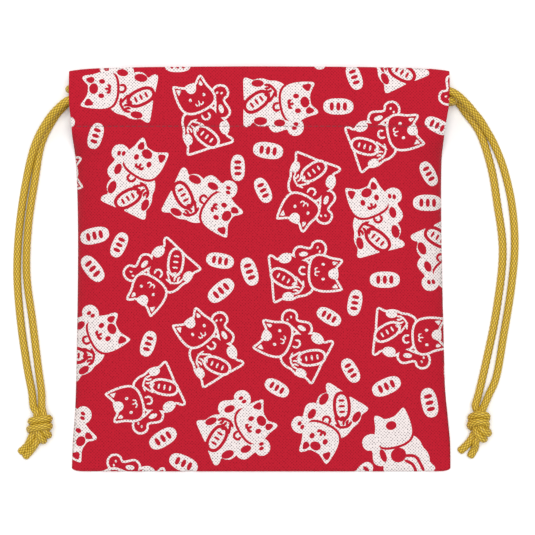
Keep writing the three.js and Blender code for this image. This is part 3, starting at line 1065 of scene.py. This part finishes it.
def divided(outline, step):
    """The outline with points added, so that none are further apart than step."""
    made = []
    for a, b in zip(outline, np.roll(outline, -1, 0)):
        count = max(int(np.ceil(np.linalg.norm(b - a) / step)), 1)
        made += [a + (b - a) * i / count for i in range(count)]
    return np.array(made)


def triangulated(outline, motifs):
    """The flat sheet in triangles whose edges follow the motifs' outlines."""
    grid_u, grid_v = np.meshgrid(side_places(), length_places())
    points = np.stack([grid_u.ravel(), grid_v.ravel()], 1)
    shrunk = outline * (1 - 1e-4) + outline.mean(0) * 1e-4
    points = points[inside(points, shrunk)]
    verts = [points]
    edges = []
    total = len(points)
    for loop in [divided(outline, EDGE_STEP)] + [shape for motif in motifs for shape, _ in motif]:
        verts.append(loop)
        ids = np.arange(len(loop)) + total
        edges += np.stack([ids, np.roll(ids, -1)], 1).tolist()
        total += len(loop)
    flat = [mathutils.Vector(p) for p in np.vstack(verts).tolist()]
    made, _, faces, _, _, _ = delaunay_2d_cdt(flat, edges, [], 0, 1e-5, False)
    made = np.array([(p.x, p.y) for p in made])
    faces = np.array([f for f in faces if len(f) == 3])
    middles = made[faces].mean(1)
    area = np.cross(made[faces[:, 1]] - made[faces[:, 0]], made[faces[:, 2]] - made[faces[:, 0]])
    keep = inside(middles, outline)
    faces = faces[keep]
    backwards = area[keep] > 0
    faces[backwards] = faces[backwards][:, ::-1]
    used, faces = np.unique(faces, return_inverse=True)
    return made[used], faces.reshape(-1, 3)


def boundary(faces):
    """The ids of the vertices round the triangles' free edge, in order."""
    sides = np.vstack([faces[:, [0, 1]], faces[:, [1, 2]], faces[:, [2, 0]]]).tolist()
    twins = {(b, a) for a, b in sides}
    after = {a: b for a, b in sides if (a, b) not in twins}
    loop = [min(after)]
    while after[loop[-1]] != loop[0]:
        loop.append(after[loop[-1]])
    return loop


def inks(middles, motifs):
    """The colour at each of the points: the last outline painted there."""
    ink = np.full(len(middles), RED)
    for motif in motifs:
        everything = np.vstack([shape for shape, _ in motif])
        low = everything.min(0)
        high = everything.max(0)
        near = np.where(((middles >= low) & (middles <= high)).all(1))[0]
        if not len(near):
            continue
        local = middles[near]
        painted = ink[near]
        for shape, shade in motif:
            painted[inside(local, shape)] = shade
        ink[near] = painted
    return ink


def build_cloth(materials):
    """The made-up pouch: the printed side, the reverse side and the rim that closes the two."""
    outline = sheet_outline()
    motifs = printed_motifs()
    flat, faces = triangulated(outline, motifs)
    ink = inks(flat[faces].mean(1), motifs)
    edge = boundary(faces)
    plain, plain_faces = triangulated(flat[edge], [])

    def lifted(points, share):
        u, v = points.T
        return folded(u, v) + outward(u, v) * THICKNESS / 2 * share

    # The reverse side's edge has the same points as the printed side's, so the rim meets both.
    plain_edge = [np.abs(plain - point).sum(1).argmin() for point in flat[edge]]
    verts = np.vstack([lifted(flat, 1), lifted(plain, -1)])
    all_faces = faces.tolist()
    all_faces += (plain_faces[:, ::-1] + len(flat)).tolist()
    n = len(edge)
    for i in range(n):
        j = (i + 1) % n
        all_faces.append([edge[j], edge[i], plain_edge[i] + len(flat), plain_edge[j] + len(flat)])
    mesh = new_mesh("printed_pouch_cloth", verts, all_faces, materials, rim=n)
    slots = np.concatenate([ink, np.full(len(plain_faces), REVERSE), np.full(n, RED)])
    mesh.polygons.foreach_set("material_index", slots.astype(np.int32))
    layer = mesh.uv_layers.new(name="cloth")
    place = np.vstack([flat, plain])
    corner = np.zeros(len(mesh.loops), np.int32)
    mesh.loops.foreach_get("vertex_index", corner)
    layer.uv.foreach_set("vector", place[corner].astype(np.float32).ravel())
    mesh.validate()
    return new_object("printed_pouch_cloth", mesh)


# Real threads lie about 0.42 mm apart. They are drawn 0.67 mm apart, because finer ones don't show.
THREAD_PITCH = 0.67


def cotton_material(name, ground, gap):
    """Plain-woven cotton: matt to the eye, with slightly uneven threads and small gaps between, painted
    darker as shade.
    """
    material, tree, shader = new_material(
        name, Roughness=0.92, Specular__IOR__Level=0.12, Sheen__Weight=0.03, Sheen__Roughness=0.5,
    )
    uv = add_node(tree, "ShaderNodeUVMap", {"uv_map": "cloth"})
    threads = add_node(
        tree, "ShaderNodeMapping",
        {"Scale": (math.pi / THREAD_PITCH, math.pi / THREAD_PITCH, 1), "Rotation": (0, 0, 0.02)},
        {"Vector": uv.outputs[0]},
    )
    split = add_node(tree, "ShaderNodeSeparateXYZ", links={0: threads.outputs[0]})
    waves = [maths(tree, "SINE", split.outputs[axis]) for axis in ("X", "Y")]
    slub = add_node(
        tree, "ShaderNodeTexNoise", {"Scale": 1.1, "Detail": 3.0, "Roughness": 0.65},
        {"Vector": uv.outputs[0]},
    )
    uneven = maths(tree, "MULTIPLY_ADD", slub.outputs[0], 3.2, -1.6)
    height = maths(tree, "ADD", maths(tree, "MULTIPLY", *waves), uneven)
    # The ramp runs from the thread's own colour to painted shade in the gaps between threads; the slub
    # noise adds real uneven tone.
    shade = shaded(tree, height, (0.36, ground), (0.85, gap))
    surface(tree, shader, shade, height, Strength=0.3, Distance=0.0001, invert=True)
    return material


# Each material's second colour is painted shade between the threads.
CLOTH_MATERIALS = [
    cotton_material("red_printed_cotton", "#B61A2D", "#8C0F20"),
    cotton_material("undyed_white_cotton", "#EADFDD", "#7A7277"),
    cotton_material("cotton_reverse", "#C88288", "#AC656D"),
]
cloth = build_cloth(CLOTH_MATERIALS)
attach(cloth, "root")
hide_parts("pouch_cloth")


# -------------------- sewing

STITCH_LENGTH = 2.2
STITCH_PITCH = 2.6
STITCH_POINTS = 9
STITCH_MARGIN = 1.5
THREAD_D = 0.26
THREAD_SIDES = 8


def stitch_row(v):
    """The middle lines of one straight row of lockstitches, each dipping in at both ends."""
    count = int(2 * (CLOTH_HALF - STITCH_MARGIN) / STITCH_PITCH)
    place = np.full(STITCH_POINTS, v)
    dip = np.linspace(-1, 1, STITCH_POINTS) ** 4
    lift = (THICKNESS / 2 + THREAD_D * (0.25 - 0.9 * dip))[:, None]
    row = []
    for i in range(count):
        middle = (i - (count - 1) / 2) * STITCH_PITCH
        u = middle + np.linspace(-0.5, 0.5, STITCH_POINTS) * STITCH_LENGTH
        row.append(folded(u, place) + outward(u, place) * lift)
    return row


def thread_material():
    # Spun polyester sewing thread: two plies twisted together, matt with a faint silky lustre.
    # Its dark red is partly the thread's own colour and partly painted shade of the crease that the
    # stitches sit in; the ply bands are painted darker in the grooves between the plies.
    material, tree, shader = new_material("dark_red_thread_and_painted_crease_shade", Roughness=0.65)
    place = add_node(tree, "ShaderNodeTexCoord")
    plies = add_node(
        tree, "ShaderNodeTexWave",
        {"wave_type": "BANDS", "bands_direction": "DIAGONAL", "Scale": 900.0, "Distortion": 0.4},
        {"Vector": place.outputs["Object"]},
    ).outputs["Fac"]
    shade = shaded(tree, plies, (0.0, "#57232B"), (1.0, "#84404A"))
    surface(tree, shader, shade, plies, Strength=0.4, Distance=0.00005)
    return material


def make_stitching():
    """The two casing stitch lines, one round each casing's foot, as separate short threads."""
    stitches = stitch_row(V_TIP + TOP_Y - STITCH_Y) + stitch_row(V_BACK + FOLD_Y + STITCH_Y)
    radii = np.full((STITCH_POINTS, THREAD_SIDES), THREAD_D / 2)
    verts = []
    faces = []
    for line in stitches:
        base = len(verts)
        verts += tube_rings(line, radii).reshape(-1, 3).tolist()
        for i in range(len(line) - 1):
            for j in range(THREAD_SIDES):
                k = (j + 1) % THREAD_SIDES
                a = base + i * THREAD_SIDES
                b = a + THREAD_SIDES
                faces.append((a + j, a + k, b + k, b + j))
        last = base + (len(line) - 1) * THREAD_SIDES
        faces.append([base + j for j in reversed(range(THREAD_SIDES))])
        faces.append([last + j for j in range(THREAD_SIDES)])
    mesh = new_mesh("casing_stitches", verts, faces, [thread_material()])
    made = new_object("casing_stitches", mesh)
    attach(made, "root")


make_stitching()
